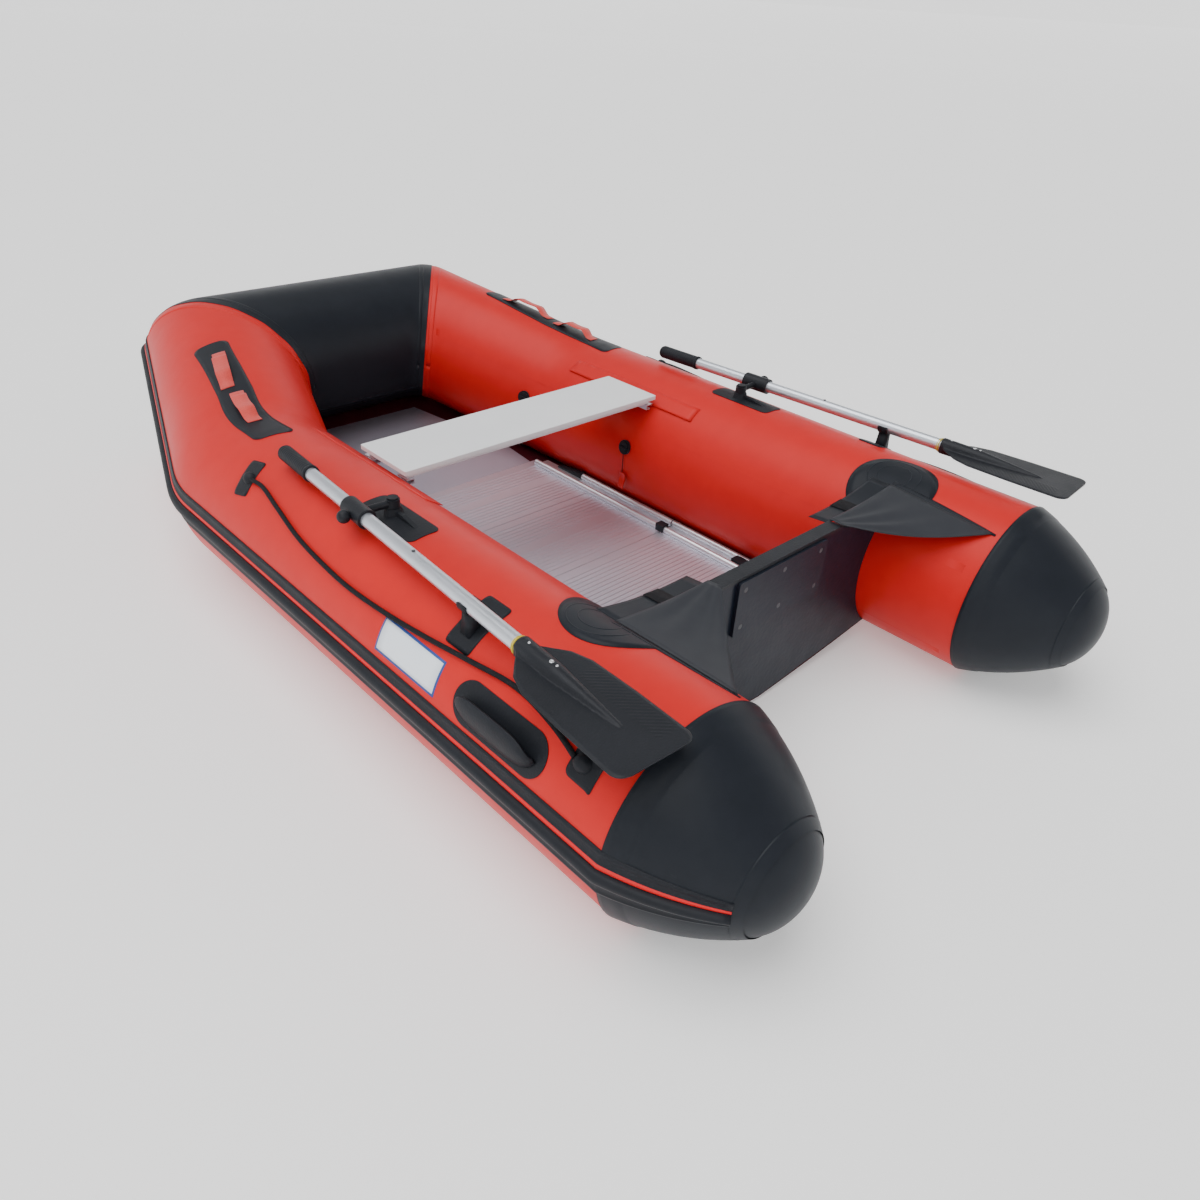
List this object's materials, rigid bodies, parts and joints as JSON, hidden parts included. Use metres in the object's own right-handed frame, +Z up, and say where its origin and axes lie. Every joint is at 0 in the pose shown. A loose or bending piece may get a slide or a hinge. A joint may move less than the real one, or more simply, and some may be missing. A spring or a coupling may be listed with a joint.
{
  "type": "inflatable dinghy",
  "caption": "Inflatable dinghy with air tubes, aluminium floor and bench, motor transom, and a pair of oars in turning rowlocks.",
  "frame": {"origin": "on the ground under the middle of the boat, at the bottom centre of its bounding box", "axes": "+Y towards the bow, +X to starboard, +Z up"},
  "size_m": [1.5598, 2.57, 0.5379],
  "materials": {
    "black_fabric": "satin",
    "red_fabric": "satin",
    "strake_rubber": "satin",
    "skin_fabric": "satin",
    "keel_fabric": "matte",
    "floor_aluminium": "satin",
    "bow_board_grey": "satin",
    "rail_aluminium": "satin",
    "black_plastic": "satin",
    "transom_black": "satin",
    "dark_grey_plastic": "satin",
    "screw_steel": "brushed",
    "red_webbing": "matte",
    "black_cord": "matte",
    "oar_aluminium": "satin",
    "bench_white": "satin"
  },
  "bodies": {
    "hull": {"bow_section": "black_fabric", "port_shoulder": "red_fabric", "starboard_shoulder": "red_fabric", "port_side_tube": "red_fabric", "starboard_side_tube": "red_fabric", "stern_cones": "black_fabric", "cone_caps": "black_fabric", "rub_band": "strake_rubber", "rub_bead": "strake_rubber", "bottom_skin": "skin_fabric", "keel_tube": "keel_fabric", "bow_board": "bow_board_grey", "front_floor_board": "floor_aluminium", "middle_floor_board": "floor_aluminium", "rear_floor_board": "floor_aluminium", "stringers": "rail_aluminium", "stringer_fittings": "black_plastic", "transom_board": "transom_black", "transom_cap": "dark_grey_plastic", "motor_pads": "black_plastic", "pad_screws": "screw_steel", "transom_wings": "black_fabric", "round_patches": "black_fabric", "seat_strips": "red_fabric", "valve_bodies": "black_plastic", "pull_cord": "black_cord", "pull_tag": "red_webbing", "grab_patches": "black_fabric", "grab_loops": "red_webbing", "rope_patches": "strake_rubber", "lifelines": "black_cord", "handle_patches": "black_fabric", "carry_handles": "strake_rubber", "ring_patches": "strake_rubber", "rowlock_bases": "strake_rubber", "oar_clips": "strake_rubber"},
    "bench": {"bench_board": "bench_white", "bench_hooks": "rail_aluminium"},
    "port_bow_ring": {"port_bow_ring": "screw_steel"},
    "starboard_bow_ring": {"starboard_bow_ring": "screw_steel"},
    "port_valve_cap": {"port_valve_cap": "black_plastic"},
    "starboard_valve_cap": {"starboard_valve_cap": "black_plastic"},
    "bow_valve_cap": {"bow_valve_cap": "black_plastic"},
    "port_swivel": {"port_swivel": "black_plastic", "port_oar_pin": "black_plastic"},
    "port_oar": {"port_collar": "black_plastic", "port_upper_shaft": "oar_aluminium", "port_lower_shaft": "oar_aluminium", "port_grip": "strake_rubber", "port_blade": "black_plastic"},
    "port_button": {"port_button": "screw_steel"},
    "starboard_swivel": {"starboard_swivel": "black_plastic", "starboard_oar_pin": "black_plastic"},
    "starboard_oar": {"starboard_collar": "black_plastic", "starboard_upper_shaft": "oar_aluminium", "starboard_lower_shaft": "oar_aluminium", "starboard_grip": "strake_rubber", "starboard_blade": "black_plastic"},
    "starboard_button": {"starboard_button": "screw_steel"}
  },
  "joints": [
    {"name": "bench_slide", "type": "slide", "parent": "hull", "child": "bench", "axis": [0, 1, 0], "range_m": [-0.13, 0.16]},
    {"name": "port_ring_swing", "type": "hinge", "parent": "hull", "child": "port_bow_ring", "pos_m": [-0.63409, 0.78833, 0.12284], "axis": [-0.3033, -0.9336, -0.1908], "range_deg": [-110, 25]},
    {"name": "port_cap_turn", "type": "hinge", "parent": "hull", "child": "port_valve_cap", "pos_m": [-0.33993, 0.029, 0.25083], "axis": [0.9816, 0, 0.1908], "range_deg": [0, 90]},
    {"name": "port_rowlock_turn", "type": "hinge", "parent": "hull", "child": "port_swivel", "pos_m": [-0.562, -0.19, 0.444], "axis": [0, 0, -1], "range_deg": [0, 115]},
    {"name": "port_oar_pitch", "type": "hinge", "parent": "port_swivel", "child": "port_oar", "pos_m": [-0.63985, -0.18524, 0.444], "axis": [-0.9981, 0.061, 0], "range_deg": [0, 2.5]},
    {"name": "port_button_press", "type": "slide", "parent": "port_oar", "child": "port_button", "axis": [0, 0, -1], "range_m": [0, 0.003], "stiffness_N_per_m": 400},
    {"name": "starboard_ring_swing", "type": "hinge", "parent": "hull", "child": "starboard_bow_ring", "pos_m": [0.63409, 0.78833, 0.12284], "axis": [-0.3033, 0.9336, 0.1908], "range_deg": [-110, 25]},
    {"name": "starboard_cap_turn", "type": "hinge", "parent": "hull", "child": "starboard_valve_cap", "pos_m": [0.33993, 0.029, 0.25083], "axis": [0.9816, 0, -0.1908], "range_deg": [0, 90]},
    {"name": "starboard_rowlock_turn", "type": "hinge", "parent": "hull", "child": "starboard_swivel", "pos_m": [0.562, -0.19, 0.444], "axis": [0, 0, 1], "range_deg": [0, 115]},
    {"name": "starboard_oar_pitch", "type": "hinge", "parent": "starboard_swivel", "child": "starboard_oar", "pos_m": [0.63985, -0.18524, 0.444], "axis": [-0.9981, -0.061, 0], "range_deg": [0, 2.5]},
    {"name": "starboard_button_press", "type": "slide", "parent": "starboard_oar", "child": "starboard_button", "axis": [0, 0, -1], "range_m": [0, 0.003], "stiffness_N_per_m": 400},
    {"name": "bow_cap_turn", "type": "hinge", "parent": "hull", "child": "bow_valve_cap", "pos_m": [0.33199, 0.47728, 0.26306], "axis": [0.9223, 0.338, -0.1873], "range_deg": [0, 90]}
  ]
}
